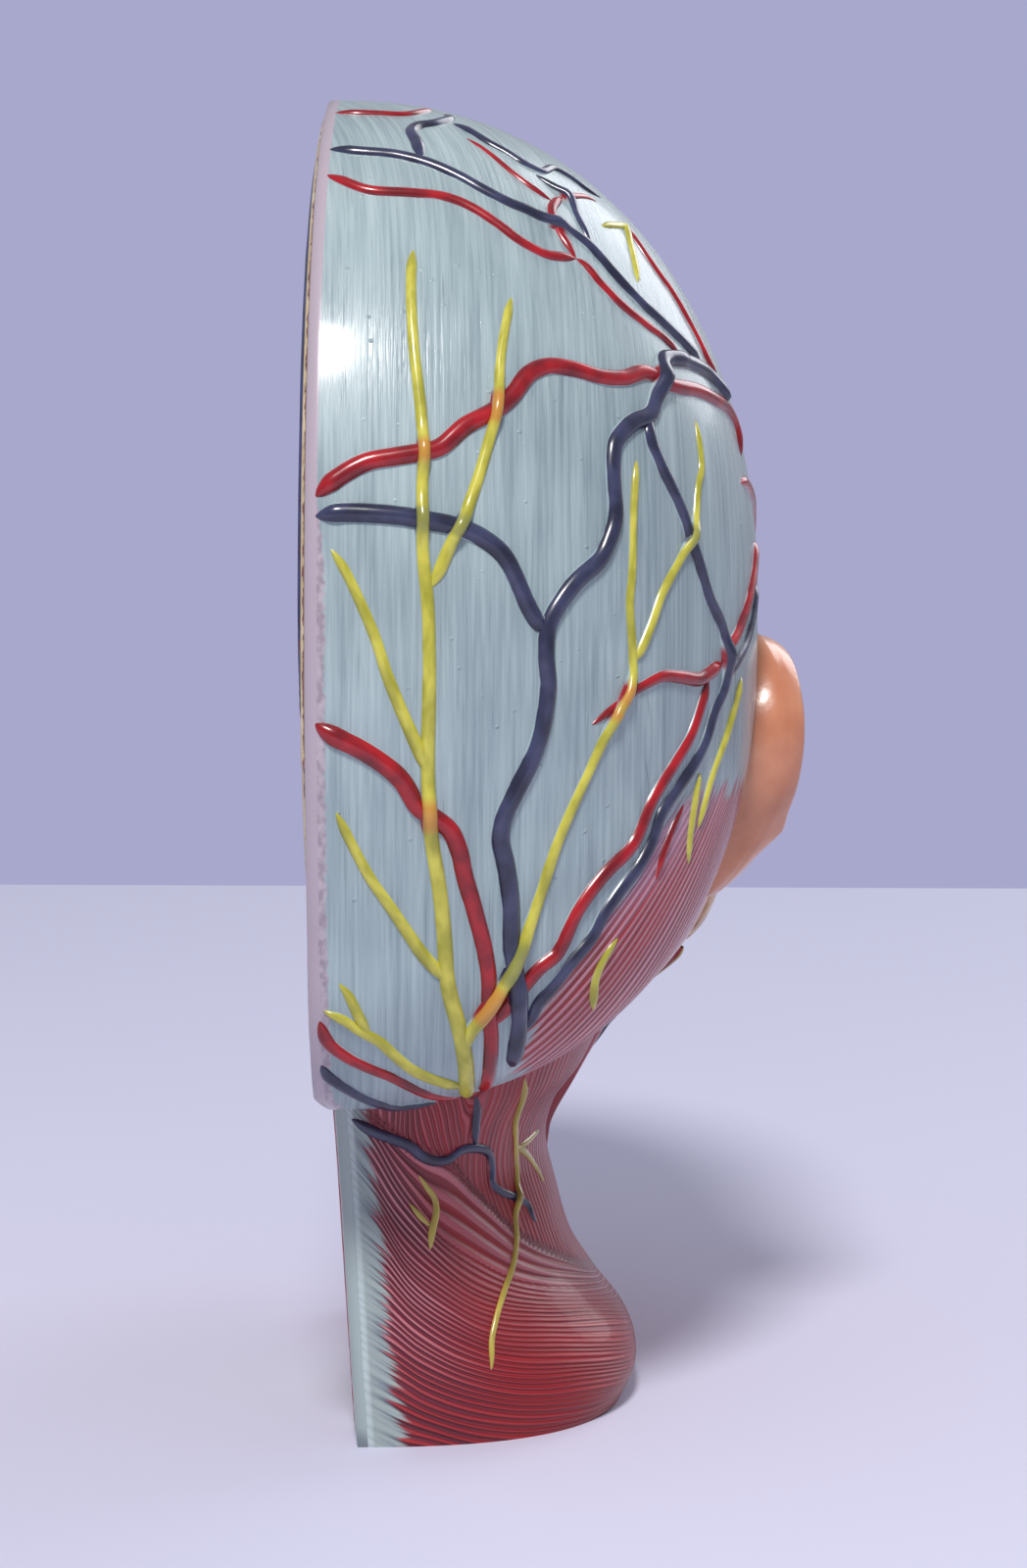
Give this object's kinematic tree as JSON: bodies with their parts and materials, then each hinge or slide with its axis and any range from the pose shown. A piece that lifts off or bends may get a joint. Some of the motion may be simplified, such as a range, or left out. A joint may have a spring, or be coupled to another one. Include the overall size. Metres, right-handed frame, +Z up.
{
  "type": "half head anatomy model",
  "caption": "Right half of a life-size head and neck without skin, with raised vessels, nerves, muscles, an ear and a median section.",
  "frame": {"origin": "middle of the flat base of the neck, where the model rests on a table", "axes": "+Z up through the crown, +Y toward the face, +X away from the cut face to the side with the ear"},
  "size_m": [0.0861, 0.208, 0.2285],
  "materials": {
    "painted_vinyl": "glossy lacquered vinyl",
    "section_vinyl": "glossy lacquered vinyl",
    "ear_vinyl": "glossy lacquered vinyl",
    "eye_vinyl": "glossy lacquered vinyl"
  },
  "bodies": {
    "root": {"lateral_shell": "painted_vinyl", "median_plate": "section_vinyl", "ear": "ear_vinyl", "eyeball": "eye_vinyl"}
  },
  "joints": []
}
